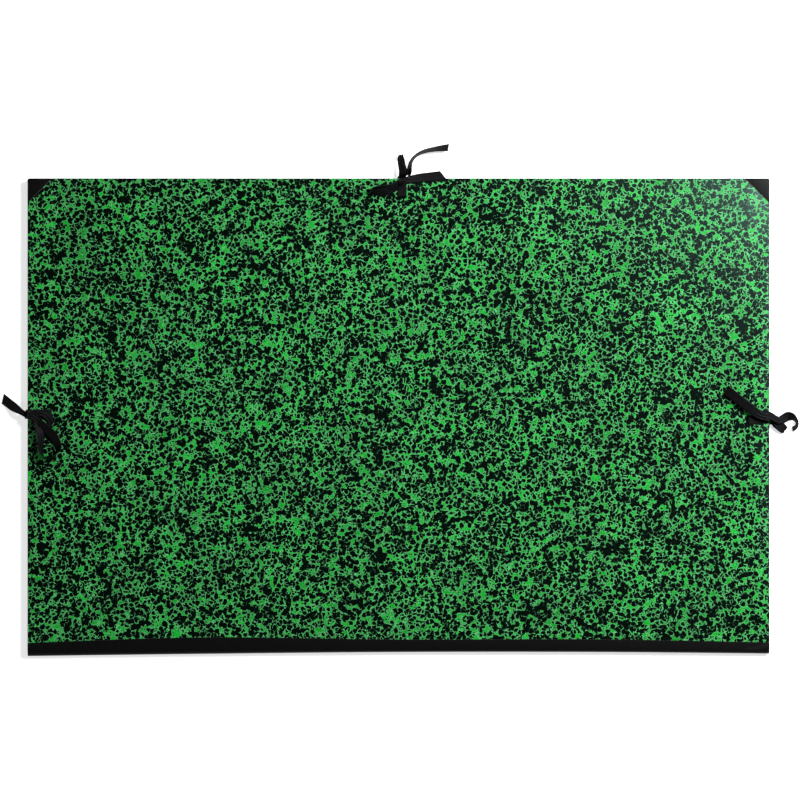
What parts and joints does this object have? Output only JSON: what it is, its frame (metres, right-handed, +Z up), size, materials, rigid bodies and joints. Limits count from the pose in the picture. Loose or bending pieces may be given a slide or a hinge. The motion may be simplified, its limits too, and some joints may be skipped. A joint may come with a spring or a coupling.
{
  "type": "drawing portfolio",
  "caption": "Large flat portfolio for drawings: marbled boards on a black cloth spine, with black cloth corners and ribbon ties on three sides.",
  "frame": {"origin": "on the table, under the middle of the closed portfolio's outline without its ribbons", "axes": "+X along the spine, +Y from the spine to the fore edge, +Z up through the closed covers"},
  "size_m": [1.2933, 0.8293, 0.0298],
  "materials": {
    "greyboard": "matt",
    "marbled_paper": "semi-gloss marbled",
    "black_bookcloth": "fine plain weave",
    "hinge_cloth": "plain weave",
    "lining_paper": "matt",
    "ribbon": "ribbed, slight sheen"
  },
  "bodies": {
    "back_cover": {"back_board": "greyboard", "back_cover_paper": "marbled_paper", "back_lining": "lining_paper", "back_corner_left": "black_bookcloth", "back_corner_right": "black_bookcloth", "spine_cloth": "black_bookcloth", "spine_lining": "hinge_cloth", "back_ribbon_left": "ribbon", "back_ribbon_top": "ribbon", "back_ribbon_right": "ribbon"},
    "front_cover": {"front_board": "greyboard", "front_cover_paper": "marbled_paper", "front_lining": "lining_paper", "front_corner_left": "black_bookcloth", "front_corner_right": "black_bookcloth", "front_ribbon_left": "ribbon", "front_ribbon_top": "ribbon", "front_ribbon_right": "ribbon"}
  },
  "joints": [
    {"name": "front_cover_hinge", "type": "hinge", "parent": "back_cover", "child": "front_cover", "pos_m": [0, -0.3825, 0.0076], "axis": [1, 0, 0], "range_deg": [0, 180], "deforming": ["spine_cloth", "spine_lining"]}
  ]
}
